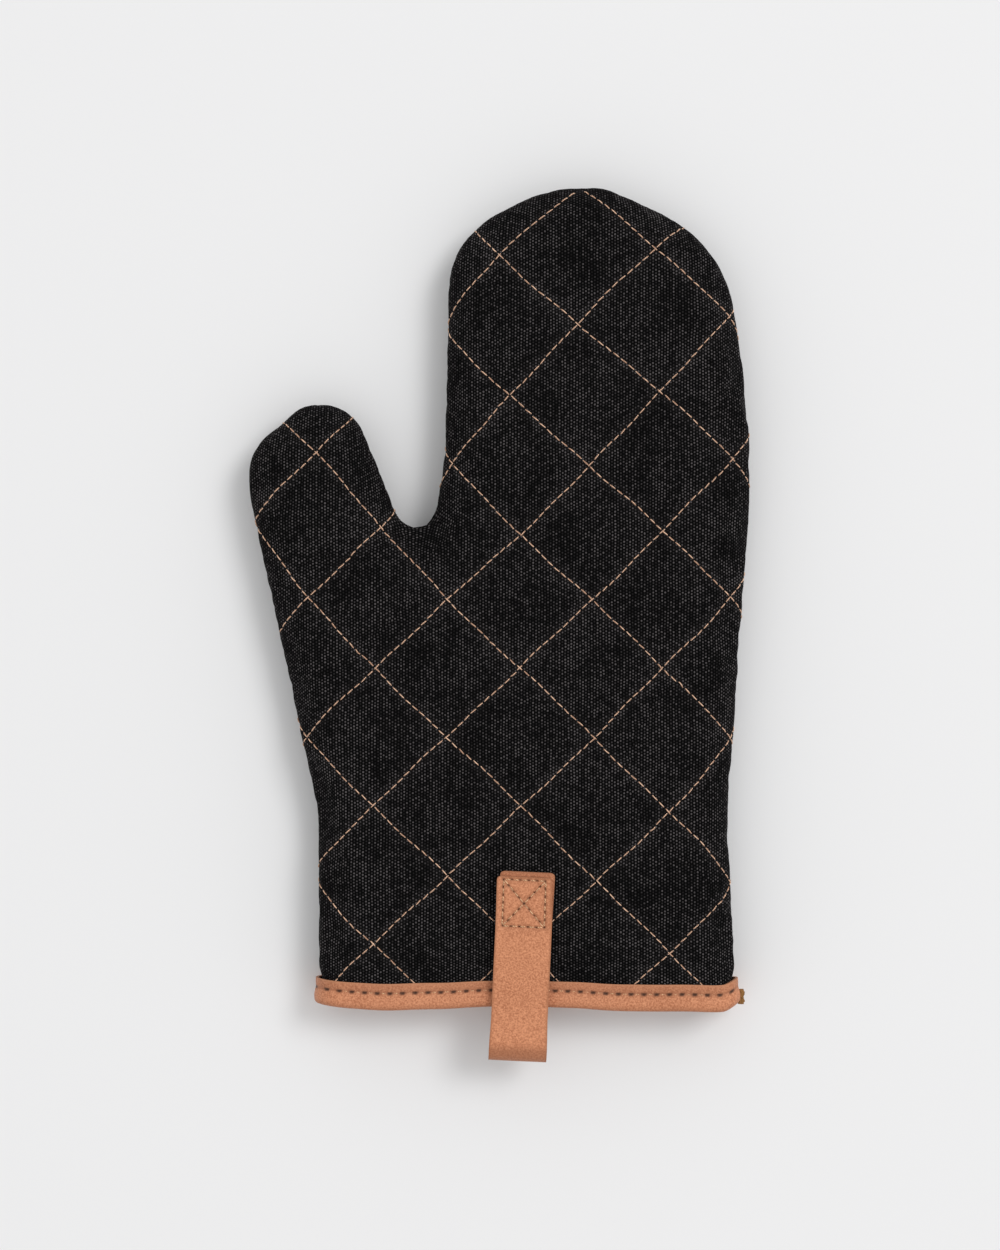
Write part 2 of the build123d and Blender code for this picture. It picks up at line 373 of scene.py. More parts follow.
class Sheet:
    """One smooth layer of cloth, which can be looked up by flat cloth coordinates."""

    def __init__(self, shape, facing):
        turned = cloth_faces if facing > 0 else [face[::-1] for face in cloth_faces]
        piece = make_mesh("sheet", shape, turned)
        keep(piece, "flat", np.column_stack([cloth_points, seam_gap]))
        active(piece)
        apply_modifier(piece, "SUBSURF", levels=1, render_levels=1, boundary_smooth="PRESERVE_CORNERS")
        self.places = read(piece.data.vertices, "co", 3)
        self.normals = read(piece.data.vertex_normals, "vector", 3)
        self.flat = read(piece.data.attributes["flat"].data, "vector", 3)
        self.faces = [tuple(p.vertices) for p in piece.data.polygons]
        bpy.data.objects.remove(piece)
        self.map = [Vector((x * 1000, y * 1000, 0)) for x, y, _ in self.flat]
        self.tree = BVHTree.FromPolygons(self.map, self.faces)

    def at(self, x, y):
        """Place and normal of one point of the cloth, or None off its edge."""
        hit, _, face, _ = self.tree.ray_cast(Vector((x * 1000, y * 1000, 5)), Vector((0, 0, -1)))
        if hit is None:
            return None
        ring = list(self.faces[face])
        shares = np.array(poly_3d_calc([self.map[i] for i in ring], hit))
        return Vector(shares @ self.places[ring]), Vector(shares @ self.normals[ring]).normalized()


def on_thumb(places):
    """Whether each place on the flat cloth belongs to the thumb."""
    rel = places[:, :2] - crotch
    return (rel @ thumb_way > 0) & (rel @ thumb_root < 0.0045)


def layered(name, flat, faces, outer, inner, normals):
    """A closed layer of cloth between two surfaces, with a map of the flat cloth."""
    used = np.unique(np.concatenate([np.array(f) for f in faces]))
    place = np.empty(len(flat), int)
    place[used] = np.arange(len(used))
    count = len(used)
    tops = [tuple(int(i) for i in place[list(f)]) for f in faces]
    sides = {(a, b) for f in tops for a, b in zip(f, f[1:] + f[:1])}
    rims = [(b, a, a + count, b + count) for a, b in sides if (b, a) not in sides]
    rims.sort()
    unders = [tuple(i + count for i in reversed(f)) for f in tops]
    piece = make_mesh(name, np.vstack([outer[used], inner[used]]), tops + unders + rims)
    flats = np.vstack([flat[used], flat[used]])
    keep(piece, "flat", flats)
    keep(piece, "row_gap", row_distance(flats[:, :2]))
    corner_points = read(piece.data.loops, "vertex_index", 1).astype(int)[:, 0]
    cloth_map = piece.data.uv_layers.new(name="cloth")
    cloth_map.data.foreach_set("uv", (flats[corner_points, :2] / map_size + 0.5).ravel())
    piece.data.polygons.foreach_set("use_smooth", [True] * len(piece.data.polygons))
    if normals is not None:
        normals = np.vstack([normals[used], -normals[used]])[corner_points]
        rim_corners = 4 * len(rims)
        normals[len(normals) - rim_corners :] = 0
        piece.data.normals_split_custom_set(normals.tolist())
    return piece


def two_sections(name, sheet, outer, inner, nodes, material):
    """A layer of one panel as two closed pieces, hand with fingers and thumb."""
    centres = np.array([sheet.flat[list(f), :2].mean(0) for f in sheet.faces])
    thumbs = on_thumb(centres)
    for section, thumb in (("palm", False), ("thumb", True)):
        faces = [f for f, on in zip(sheet.faces, thumbs) if on == thumb]
        piece = layered(f"{name}_{section}", sheet.flat, faces, outer, inner, sheet.normals)
        dress(piece, material)
        fold_piece(piece, nodes, thumb)


def dress(piece, material):
    """Give a piece its material."""
    piece.data.materials.append(material)


def fold_piece(piece, nodes, thumb):
    """Hide the solids that a piece of one section stands in for, and bake its place into its mesh."""
    if thumb:
        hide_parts(f"{nodes}_thumb")
        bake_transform(piece)
    else:
        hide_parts(f"{nodes}_hand", f"{nodes}_fingers")
        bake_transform(piece)


def shader(tree, kind, inputs=None, **settings):
    """Add a shader node, set its settings, and set or link its inputs."""
    node = tree.nodes.new(kind)
    set_all(node, **settings)
    for socket, value in (inputs or {}).items():
        if isinstance(value, bpy.types.NodeSocket):
            tree.links.new(value, node.inputs[socket])
        else:
            node.inputs[socket].default_value = value
    return node


def maths(tree, operation, *values):
    """Add a math node and give its result."""
    return shader(tree, "ShaderNodeMath", dict(enumerate(values)), operation=operation).outputs[0]


def ramp(tree, value, low, high, to_low=0.0, to_high=1.0):
    """Ease a value smoothly from one range to another."""
    limits = {"Value": value, "From Min": low, "From Max": high, "To Min": to_low, "To Max": to_high}
    return shader(tree, "ShaderNodeMapRange", limits, interpolation_type="SMOOTHSTEP").outputs[0]


def product(tree, value, *others):
    """Multiply values together."""
    for other in others:
        value = maths(tree, "MULTIPLY", value, other)
    return value


def noise(tree, place, scale, detail):
    """Uneven tone over a surface, between 0 and 1."""
    texture = {"Vector": place, "Scale": scale, "Detail": detail}
    return shader(tree, "ShaderNodeTexNoise", texture).outputs["Fac"]


def blend_colours(tree, amount, low, high):
    """Mix two colours by an amount."""
    ends = {0: amount, 6: low if hasattr(low, "links") else (*low, 1)}
    ends[7] = high if hasattr(high, "links") else (*high, 1)
    return shader(tree, "ShaderNodeMix", ends, data_type="RGBA").outputs[2]


def new_material(name, **settings):
    """A material with only its Principled shader, and that shader's plain values."""
    material = bpy.data.materials.new(name)
    material.use_nodes = True
    surface = material.node_tree.nodes["Principled BSDF"]
    for socket, value in settings.items():
        surface.inputs[socket.replace("_", " ")].default_value = value
    return material, material.node_tree, surface


def three_kept(tree, name):
    """The three numbers that a piece keeps under one name."""
    kept = shader(tree, "ShaderNodeAttribute", attribute_name=name).outputs["Vector"]
    return shader(tree, "ShaderNodeSeparateXYZ", {0: kept}).outputs


def finish(tree, surface, colour, roughness, height, depth, strength=1.0, under=None):
    """Give a surface its colour, its roughness and its fine relief."""
    relief = {"Height": height, "Distance": depth, "Strength": strength}
    if under is not None:
        relief["Normal"] = under
    bump = shader(tree, "ShaderNodeBump", relief).outputs[0]
    for socket, value in (("Base Color", colour), ("Roughness", roughness), ("Normal", bump)):
        tree.links.new(value, surface.inputs[socket])


def new_group(name, inputs, outputs):
    """A shader node group with named inputs and outputs."""
    tree = bpy.data.node_groups.new(name, "ShaderNodeTree")
    for way, sockets in (("INPUT", inputs), ("OUTPUT", outputs)):
        for label, kind in sockets.items():
            tree.interface.new_socket(label, in_out=way, socket_type="NodeSocket" + kind)
    return tree, tree.nodes.new("NodeGroupInput").outputs, tree.nodes.new("NodeGroupOutput").inputs


# Plain weave: a float of weft over a float of warp, neighbouring columns staggered
weave, given, gives = new_group(
    "plain_weave",
    {"Cloth": "Vector", "Column": "Float", "Float": "Float", "Unevenness": "Float"},
    {"Height": "Float", "Weft": "Float", "Chance": "Float"},
)
wander = shader(weave, "ShaderNodeTexNoise", {"Vector": given["Cloth"], "Scale": 330.0, "Detail": 2.0})
wander = wander.outputs["Color"]
for operation, values in (
    ("SUBTRACT", {1: (0.5, 0.5, 0.5)}),
    ("SCALE", {"Scale": given["Unevenness"]}),
    ("ADD", {1: given["Cloth"]}),
):
    wander = shader(weave, "ShaderNodeVectorMath", {0: wander, **values}, operation=operation).outputs[0]
split = shader(weave, "ShaderNodeSeparateXYZ", {0: wander})
column = maths(weave, "DIVIDE", split.outputs["X"], given["Column"])
floats = maths(weave, "DIVIDE", split.outputs["Y"], given["Float"])
over_x = maths(weave, "ABSOLUTE", maths(weave, "SINE", product(weave, column, pi)))
stagger = product(weave, maths(weave, "FLOOR", column), pi)
over_y = maths(weave, "COSINE", maths(weave, "MULTIPLY_ADD", floats, pi, stagger))
over_y = maths(weave, "MULTIPLY_ADD", over_y, 0.5, 0.5)
height = product(weave, maths(weave, "POWER", over_x, 2.2), over_y)
turns = maths(weave, "DIVIDE", maths(weave, "MULTIPLY_ADD", floats, pi, stagger), 2 * pi)
cell_of = {"X": maths(weave, "FLOOR", column), "Y": maths(weave, "ROUND", turns)}
cell_of = shader(weave, "ShaderNodeCombineXYZ", cell_of)
chance = shader(weave, "ShaderNodeTexWhiteNoise", {"Vector": cell_of.outputs[0]})
weave.links.new(height, gives["Height"])
weave.links.new(ramp(weave, height, 0.12, 0.85), gives["Weft"])
weave.links.new(chance.outputs["Value"], gives["Chance"])


def woven(name, warp, weft, column, float_run, wash, shine):
    """Woven cotton: dark warp under paler weft, washed unevenly and rubbed where it stands out."""
    material, tree, surface = new_material(
        name, Specular_IOR_Level=0.04, Sheen_Weight=shine, Sheen_Roughness=0.6
    )
    flat = shader(tree, "ShaderNodeUVMap", uv_map="cloth").outputs[0]
    half, whole = (-map_size / 2, -map_size / 2, 0), (map_size, map_size, 1)
    cloth = shader(tree, "ShaderNodeMapping", {"Vector": flat, "Location": half, "Scale": whole}).outputs[0]
    sizes = {"Cloth": cloth, "Column": column, "Float": float_run, "Unevenness": 0.45 * column}
    threads = shader(tree, "ShaderNodeGroup", sizes, node_tree=weave).outputs
    near_row = shader(tree, "ShaderNodeAttribute", attribute_name="row_gap").outputs["Fac"]
    seam = three_kept(tree, "flat")["Z"]
    drawn = shader(tree, "ShaderNodeMapping", {"Vector": cloth, "Scale": (0.9 / column, 45.0, 1)})
    fleck = noise(tree, cloth, 700.0, 3.0)
    chance = maths(tree, "POWER", threads["Chance"], 2.0)
    amount = product(
        tree,
        maths(tree, "MULTIPLY_ADD", chance, 1.5, 0.2),
        threads["Weft"],
        ramp(tree, noise(tree, cloth, 45.0, 6.0), 0.3, 0.7, 1 - wash, 1 + wash),
        ramp(tree, noise(tree, drawn.outputs[0], 1.0, 3.0), 0.3, 0.7, 0.6, 1.4),
        maths(tree, "MULTIPLY_ADD", fleck, 1.2, 0.4),
    )
    rubbed_at_row = ramp(tree, near_row, 0.0, 0.004, 0.25, 0.0)
    rubbed = maths(tree, "ADD", rubbed_at_row, ramp(tree, seam, 0.0, 0.006, 0.4, 0.0))
    amount = maths(tree, "ADD", amount, product(tree, rubbed, product(tree, fleck, 0.35)))
    amount = product(tree, amount, ramp(tree, seam, 0.0002, 0.0010, 0.1, 1.0))
    groove = ramp(tree, near_row, 0.0, 0.0015)
    sunk = shader(tree, "ShaderNodeBump", {"Height": groove, "Distance": 0.0006, "Strength": 0.8})
    colour = blend_colours(tree, amount, warp, weft)
    roughness = maths(tree, "MULTIPLY_ADD", threads["Weft"], -0.12, 0.92)
    relief = maths(tree, "MULTIPLY_ADD", fleck, 0.5, threads["Height"])
    finish(tree, surface, colour, roughness, relief, 0.16 * column, 0.9, sunk.outputs[0])
    return material


canvas = woven(
    "washed_canvas",
    warp=(0.0016, 0.0015, 0.0016),
    weft=(0.090, 0.082, 0.083),
    column=0.00113,
    float_run=0.000615,
    wash=0.5,
    shine=0.0,
)
canvas_sheets = {}
for side, name in ((1, "front"), (-1, "back")):
    shape = lay(cloth_points, sewn_depth, side) + push * (1, 1, side)
    shape[:, 2] = np.maximum(shape[:, 2], cad_low.z + 0.00005)
    sheet = canvas_sheets[name] = Sheet(shape, side)
    under = sheet.places - sheet.normals * canvas_thick
    under[:, 2] = np.where(np.sign(under[:, 2] - middle) == side, under[:, 2], middle)
    two_sections(f"{name}_panel", sheet, sheet.places, under, f"{name}_canvas", canvas)


# Lining: dark cotton inside the mitt, quilted to the canvas, so it puffs inward
# between the rows. It ends under the binding, like the canvas.
lining = woven(
    "dark_lining",
    warp=(0.012, 0.0118, 0.0125),
    weft=(0.055, 0.053, 0.056),
    column=0.00062,
    float_run=0.00034,
    wash=0.4,
    shine=0.1,
)
lining_thick = 0.00045
swell = np.clip(np.linalg.norm(push, axis=1) / most_puff, 0, 1)
lining_depth = 0.0041 + 0.0018 * np.maximum(swell, 1 - near_side)
lining_depth = lining_depth + (0.0047 - lining_depth) * gripped
lining_sheets = {}
for side, name in ((1, "front"), (-1, "back")):
    sheet = lining_sheets[name] = Sheet(lay(cloth_points, lining_depth, side, pinch=0), -side)
    under = sheet.places - sheet.normals * lining_thick
    two_sections(f"{name}_liner", sheet, sheet.places, under, f"{name}_lining", lining)


# Batting: a pad of cotton wadding between the canvas and the lining of each
# panel, squeezed thin under the rows of quilting and under the binding.
batting, tree, surface = new_material("cotton_wadding", Sheen_Weight=0.3, Specular_IOR_Level=0.1)
place = shader(tree, "ShaderNodeTexCoord").outputs["Object"]
fluff, clumps = noise(tree, place, 900.0, 6.0), noise(tree, place, 120.0, 3.0)
tone = product(tree, product(tree, fluff, clumps), 2.5)
colour = blend_colours(tree, tone, (0.62, 0.58, 0.50), (0.83, 0.81, 0.76))
finish(tree, surface, colour, maths(tree, "MULTIPLY_ADD", clumps, 0.1, 0.88), fluff, 0.0006)


class Pad:
    """The unsmoothed grid of the flat cloth, which the batting is cut to."""

    flat = np.column_stack([cloth_points, seam_gap])
    normals = None


for side, name in ((1, "front"), (-1, "back")):
    pad, count = Pad(), len(cloth_points)
    pad.faces = cloth_faces if side > 0 else [face[::-1] for face in cloth_faces]
    canvas_sheet, lining_sheet = canvas_sheets[name], lining_sheets[name]
    outer = canvas_sheet.places[:count] - canvas_sheet.normals[:count] * (canvas_thick + 0.0004)
    inner = lining_sheet.places[:count] - lining_sheet.normals[:count] * (lining_thick + 0.0002)
    two_sections(f"{name}_wadding", pad, outer, inner, f"{name}_batting", batting)


# Quilting: lockstitch in pale waxed thread, in straight rows on the flat cloth
# that bend with it where the padding rolls over the side.
quilting_pitch = 0.0035
chances = random.Random(7)


def cut_through(spots, normal):
    """Cut the whole active piece along planes through these places."""
    bpy.ops.object.mode_set(mode="EDIT")
    for spot in spots:
        bpy.ops.mesh.select_all(action="SELECT")
        bpy.ops.mesh.bisect(plane_co=spot, plane_no=normal)
    bpy.ops.object.mode_set(mode="OBJECT")


def model_stitch(length, width, rise):
    """One stitch: six-sided thread, arched over the cloth and dipping in at both ends."""
    bpy.ops.object.select_all(action="DESELECT")
    bpy.ops.mesh.primitive_cylinder_add(
        vertices=6, radius=width / 2, depth=length, end_fill_type="NGON", rotation=(0, pi / 2, 0)
    )
    bpy.ops.object.transform_apply(location=True, rotation=True, scale=True)
    cut_through([(t * length, 0, 0) for t in (-0.36, -0.17, 0.17, 0.36)], (1, 0, 0))
    stitch = bpy.context.object
    points = read(stitch.data.vertices, "co", 3)
    arch = 1 - np.clip(np.abs(points[:, 0]) / (length / 2), 0, 1) ** 2
    points[:, 1:] *= (0.4 + 0.6 * np.sqrt(arch))[:, None]
    points[:, 2] += rise * arch - width * 0.4
    faces = [tuple(p.vertices) for p in stitch.data.polygons]
    bpy.data.objects.remove(stitch)
    return points, faces


def face_out(piece, weld=0):
    """Close the gaps narrower than weld and turn every face of a piece outwards."""
    active(piece)
    bpy.ops.object.mode_set(mode="EDIT")
    bpy.ops.mesh.select_all(action="SELECT")
    if weld:
        bpy.ops.mesh.remove_doubles(threshold=weld)
    bpy.ops.mesh.normals_make_consistent(inside=False)
    bpy.ops.object.mode_set(mode="OBJECT")


def sew(name, shape, stitches):
    """Copies of one stitch as one mesh; each is a function from a run along it to a frame."""
    shape_points, shape_faces = shape
    runs = np.round(shape_points[:, 0], 7)
    points, faces = [], []
    for frame_at in stitches:
        frames = {run: frame_at(run) for run in np.unique(runs)}
        if any(found is None for found in frames.values()):
            continue
        first = len(points)
        for run, (_, across, high) in zip(runs, shape_points):
            place, way, up = frames[run]
            points.append(place + way.cross(up).normalized() * -across + up * high)
        faces += [tuple(first + i for i in face) for face in shape_faces]
    piece = make_mesh(name, points, faces)
    face_out(piece)
    bpy.ops.object.shade_smooth()
    return piece


def row_stitches(sheet, edge_gap, far_y):
    """Every quilting stitch of one layer, with its place on the flat cloth."""
    stitches = []
    for way, across in zip(row_ways, row_sides):
        for row in range(-9, 10):
            runs = np.arange(-110, 111) * quilting_pitch
            wander = 0.00026 * np.sin(runs / 0.0046 + 2.3 * row) + 0.00028 * np.sin(runs / 0.0113 + row)
            true = first_crossing + runs[:, None] * way + (row * row_spacing + wander)[:, None] * across
            true = true[(true > cut_line.min(0) - 0.02).all(1) & (true < cut_line.max(0) + 0.02).all(1)]
            if not len(true):
                continue
            middles = on_cloth(true)
            ways = (on_cloth(true + way * 0.0005) - middles) / 0.0005
            inside = (from_seam(middles)[0] > edge_gap) & (middles[:, 1] > cuff_y + 0.0085)
            inside &= middles[:, 1] < far_y
            for spot, along in zip(middles[inside], ways[inside]):
                turn = chances.uniform(-0.10, 0.10)
                turned = along * cos(turn) + np.array((-along[1], along[0])) * sin(turn)

                def frame_at(run, spot=spot, turned=turned):
                    here = sheet.at(*(spot + turned * run))
                    ahead = sheet.at(*(spot + turned * (run + 0.0003)))
                    if here is None or ahead is None:
                        return None
                    return here[0], (ahead[0] - here[0]).normalized(), here[1]

                stitches.append((spot, frame_at))
    return stitches


twist, given, gives = new_group(
    "twisted_thread", {"Place": "Vector", "Turns": "Float"}, {"Height": "Float", "Tone": "Float"}
)
plies = {"Vector": given["Place"], "Scale": given["Turns"], "Distortion": 1.5, "Detail": 2.0}
plies = shader(twist, "ShaderNodeTexWave", plies, bands_direction="DIAGONAL")
height = product(twist, plies.outputs["Fac"], noise(twist, given["Place"], 900.0, 3.0))
twist.links.new(height, gives["Height"])
# Tone sets how much painted shade a thread gets: least on the crowns of the plies, most in the grooves
# between them.
twist.links.new(maths(twist, "MULTIPLY_ADD", height, 1.7, 0.15), gives["Tone"])


def thread_material(name, shade, colour, turns):
    """Waxed thread: plies winding round each other, with painted shade where they meet."""
    material, tree, surface = new_material(name, Sheen_Weight=0.15)
    sizes = {"Place": shader(tree, "ShaderNodeTexCoord").outputs["Object"], "Turns": turns}
    ply = shader(tree, "ShaderNodeGroup", sizes, node_tree=twist).outputs
    colour = blend_colours(tree, ply["Tone"], shade, colour)
    roughness = maths(tree, "MULTIPLY_ADD", ply["Tone"], -0.2, 0.65)
    finish(tree, surface, colour, roughness, ply["Height"], 0.00012)
    return material


quilting_thread = thread_material(
    "pale_waxed_thread", shade=(0.26, 0.10, 0.045), colour=(0.86, 0.57, 0.39), turns=700.0
)
quilting_stitch = model_stitch(length=0.0031, width=0.00050, rise=0.00042)
for name in ("front", "back"):
    stitches = row_stitches(canvas_sheets[name], 0.0016, tips)
    thumbs = on_thumb(np.array([spot for spot, _ in stitches]))
    for section, thumb in (("palm", False), ("thumb", True)):
        chosen = [frame_at for (_, frame_at), on in zip(stitches, thumbs) if on == thumb]
        piece = sew(f"{name}_stitches_{section}", quilting_stitch, chosen)
        dress(piece, quilting_thread)
        fold_piece(piece, f"{name}_quilting", thumb)
    inside = [frame_at for _, frame_at in row_stitches(lining_sheets[name], 0.003, crotch[1] - 0.006)]
    piece = sew(f"{name}_stitches_inside", quilting_stitch, inside)
    dress(piece, quilting_thread)
    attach(piece, "hand")


# Side seam: a strong dark thread that holds the turned edges together, buried in
# the padding all the way from the thumb side of the cuff to the outer side.
seam_thread = thread_material(
    "dark_seam_thread", shade=(0.004, 0.004, 0.004), colour=(0.035, 0.034, 0.036), turns=500.0
)
seam_thread_radius = 0.0003
seam_run = seam_line - seam_out * 0.003
seam_run = even_line(seam_run[seam_run[:, 1] > cuff_y + 0.0125], 0.0015)
on_seam_thumb = on_thumb(seam_run)
for section, thumb in (("palm", False), ("thumb", True)):
    points, faces = [], []
    for k, (a, b) in enumerate(zip(seam_run[:-1], seam_run[1:])):
        if on_seam_thumb[k] != thumb:
            continue
        way = (b - a) / hypot(*(b - a))
        beside = np.array((-way[1], way[0]))
        first = len(points)
        for end in (a, b + way * 0.0001):
            for turn in np.arange(6) * pi / 3:
                out_to = end + beside * seam_thread_radius * cos(turn)
                points.append((*out_to, middle + seam_thread_radius * sin(turn)))
        for i in range(6):
            beyond = first + (i + 1) % 6
            faces.append((first + i, beyond, beyond + 6, first + 6 + i))
        faces += [tuple(first + i for i in range(5, -1, -1)), tuple(first + 6 + i for i in range(6))]
    piece = make_mesh(f"side_seam_{section}", points, faces)
    face_out(piece)
    bpy.ops.object.shade_smooth_by_angle(angle=radians(50))
    dress(piece, seam_thread)
    fold_piece(piece, "side_seam_thread", thumb)


# Cuff binding: one strip of natural leather folded over the edge of the mouth and
# sewn through, its two ends turned out together into the seam of the outer side.
binding_thick = 0.0011
binding_pitch = 0.0049
binding_row = cuff_y + 0.0068
mouth_wall = 0.0059

grain, given, gives = new_group(
    "leather_grain", {"Place": "Vector", "Size": "Float"}, {"Height": "Float", "Tone": "Float"}
)
pores = {"Vector": given["Place"], "Scale": given["Size"], "Randomness": 1.0}
pores = shader(grain, "ShaderNodeTexVoronoi", pores, feature="F1").outputs["Distance"]
pebbles = noise(grain, given["Place"], given["Size"], 4.0)
height = maths(grain, "MULTIPLY_ADD", noise(grain, given["Place"], 2600.0, 5.0), 0.5, pebbles)
height = maths(grain, "MULTIPLY_ADD", pores, 0.5, height)
grain.links.new(height, gives["Height"])
tone = maths(grain, "MULTIPLY_ADD", pebbles, 3.0, -1.25)
tone = maths(grain, "MULTIPLY_ADD", noise(grain, given["Place"], 60.0, 4.0), 0.5, tone)
grain.links.new(tone, gives["Tone"])


def leather_skin(tree, size):
    """The tone and height of a piece's grain."""
    sizes = {"Place": shader(tree, "ShaderNodeTexCoord").outputs["Object"], "Size": size}
    skin = shader(tree, "ShaderNodeGroup", sizes, node_tree=grain)
    return skin.outputs["Tone"], skin.outputs["Height"]


def leather(name, deep, pale, edge):
    """Natural leather: pebbled grain, clouded colour, cut edges in a tone of their own (burnished dark, and
    on the binding paler as a painted highlight), needle holes painted dark as shade, and painted shade over
    folds and creases.
    """
    # The kept attribute holds the distance to the cut edge, the needle holes (painted dark as shade) and
    # the painted shade of folds and creases
    material, tree, surface = new_material(name, Specular_IOR_Level=0.28, Sheen_Weight=0.03)
    tone, height = leather_skin(tree, 1500.0)
    edge_gap_and_shade = three_kept(tree, "edge_gap_and_shade")
    colour = blend_colours(tree, tone, deep, pale)
    # Cut edges take the edge colour: burnished darker on the strap, paler on the binding as a painted
    # highlight.
    colour = blend_colours(tree, ramp(tree, edge_gap_and_shade["X"], 0.0, 0.0011, 0.8, 0.0), colour, edge)
    # Painted shade: darker over folds, creases and the hidden layer, and near-black brown in the needle
    # holes.
    colour = blend_colours(tree, edge_gap_and_shade["Z"], colour, tuple(0.6 * c for c in deep))
    colour = blend_colours(tree, edge_gap_and_shade["Y"], colour, (0.055, 0.017, 0.006))
    finish(tree, surface, colour, maths(tree, "MULTIPLY_ADD", tone, -0.12, 0.62), height, 0.0003, 0.8)
    return material


def finish_strip(piece, thick, offset, bevel):
    """Give a strip of leather its thickness and slightly rounded cut edges."""
    active(piece)
    apply_modifier(piece, "SOLIDIFY", thickness=thick, offset=offset)
    sharp = radians(55)
    apply_modifier(piece, "BEVEL", width=bevel, segments=2, limit_method="ANGLE", angle_limit=sharp)
    face_out(piece)
    bpy.ops.object.shade_smooth_by_angle(angle=radians(60))


def strip_of_leather(name, along, across):
    """A flat strip, as a grid with this many cells, not yet folded."""
    bpy.ops.object.select_all(action="DESELECT")
    bpy.ops.mesh.primitive_grid_add(x_subdivisions=along, y_subdivisions=across, size=2, location=(0, 0, 0))
    strip = bpy.context.object
    strip.name = strip.data.name = name
    grid = read(strip.data.vertices, "co", 3)
    return strip, (grid[:, 0] + 1) / 2, (grid[:, 1] + 1) / 2


# Profile of the folded strip: height over the cuff's edge, and depth in the wall
profile = [(0.0106, 0.00040), (0.0085, 0.00035), (0.0068, 0.00045), (0.0055, 0.0001), (0.0035, -0.0003)]
fold_turn = np.linspace(0.03, pi - 0.03, 40)
fold_across = np.sign(np.cos(fold_turn)) * np.abs(np.cos(fold_turn)) ** 0.6
fold_over = 0.0022 * (1 - np.sin(fold_turn) ** 0.6)
profile += list(zip(fold_over, mouth_wall / 2 - (mouth_wall / 2 + 0.0002) * fold_across))
profile += [(0.0035, mouth_wall), (0.0055, mouth_wall - 0.0002), (0.0068, mouth_wall - 0.0005)]
profile += [(0.0085, mouth_wall - 0.0003), (0.0100, mouth_wall - 0.0003)]
profile = even_line(np.array(profile), 0.0006)
profile = np.vstack([profile[:1], (profile[:-2] + 2 * profile[1:-1] + profile[2:]) / 4, profile[-1:]])
third = len(cut_line) // 3
rims = {"thumb": cut_line[:third], "outer": cut_line[::-1][:third]}
rims = {label: part[np.argsort(part[:, 1])] for label, part in rims.items()}


def round_cuff(turn, height, depth):
    """A place on the wall of the mouth: turn runs 0 to 1 over the front, 1 to 2 over the back."""
    y = cuff_y + height
    left = np.interp(y, rims["thumb"][:, 1], rims["thumb"][:, 0])
    right = np.interp(y, rims["outer"][:, 1], rims["outer"][:, 0])
    share = np.where(turn < 1, turn, 2 - turn)
    flat = np.column_stack([right + (left - right) * share, y])
    stand_out = 0.0014 * (1 - ease_in(from_seam(flat)[0] / (roll * pi / 2)))
    places = lay(flat, depth - stand_out, 1, pinch=0)
    places[:, 2] = np.where(turn < 1, places[:, 2], 2 * middle - places[:, 2])
    return places, flat


binding, turn, fold = strip_of_leather("cuff_strip", 580, len(profile) - 1)
stations = np.round(fold * (len(profile) - 1)).astype(int)
heights, depths = profile[stations].T
holes = np.arange(-0.0864, 0.105, binding_pitch)
turn = turn * 2
places, flat = round_cuff(turn, heights, depths)
from_hole = np.abs(places[:, 0, None] - holes[None]).min(1)
on_row = np.abs(cuff_y + heights - binding_row)
flaps = (depths < 0.002) | (depths > mouth_wall - 0.002)
# Needle holes along the stitch row: sunk into the leather, and painted dark as shade.
hole = np.exp(-((from_hole / 0.00105) ** 4) - (on_row / 0.00042) ** 2) * flaps
row_dip = np.exp(-((on_row / 0.0011) ** 2)) * flaps
facing = ease_in(from_seam(flat)[0] / 0.02)
sink = np.where(depths < mouth_wall / 2, 1, -1) * (0.0004 * hole + 0.00012 * row_dip) * facing
ripple = 0.00012 * np.sin(places[:, 0] / 0.0041) * np.sin(places[:, 0] / 0.0173)
places, flat = round_cuff(turn, heights + ripple, depths + sink)
binding.data.vertices.foreach_set("co", places.ravel())
width_run = np.concatenate([[0], np.cumsum(np.linalg.norm(np.diff(profile, axis=0), axis=1))])
cut_gap = np.minimum(width_run[stations], width_run[-1] - width_run[stations])
# Painted shade on the binding: darker over the lowest 3 mm, where the leather rolls away round the mouth,
# over the flat strip above the stitch row, and along the row of stitches.
low = 0.45 * ease_in((0.0030 - heights) / 0.003)
flat_strip_shade = 0.30 * ease_in((heights - 0.0064) / 0.0008)
painted_shade = low + flat_strip_shade + 0.25 * row_dip
keep(binding, "edge_gap_and_shade", np.column_stack([cut_gap, np.clip(hole * 1.9, 0, 1), painted_shade]))
face_out(binding, weld=0.00008)
probe = binding.data.polygons[len(binding.data.polygons) // 4]
outward = (probe.center.z - middle) * probe.normal.z > 0 or abs(probe.normal.y) > 0.7 and probe.normal.y < 0
finish_strip(binding, binding_thick, -1 if outward else 1, 0.00022)
# The binding's cut edges are painted paler than its face, a painted highlight where the top edge catches
# the light.
binding_leather = leather(
    "natural_binding_leather", deep=(0.42, 0.150, 0.068), pale=(0.70, 0.30, 0.155), edge=(0.60, 0.27, 0.14)
)
dress(binding, binding_leather)
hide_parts("cuff_binding")
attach(binding, "hand")

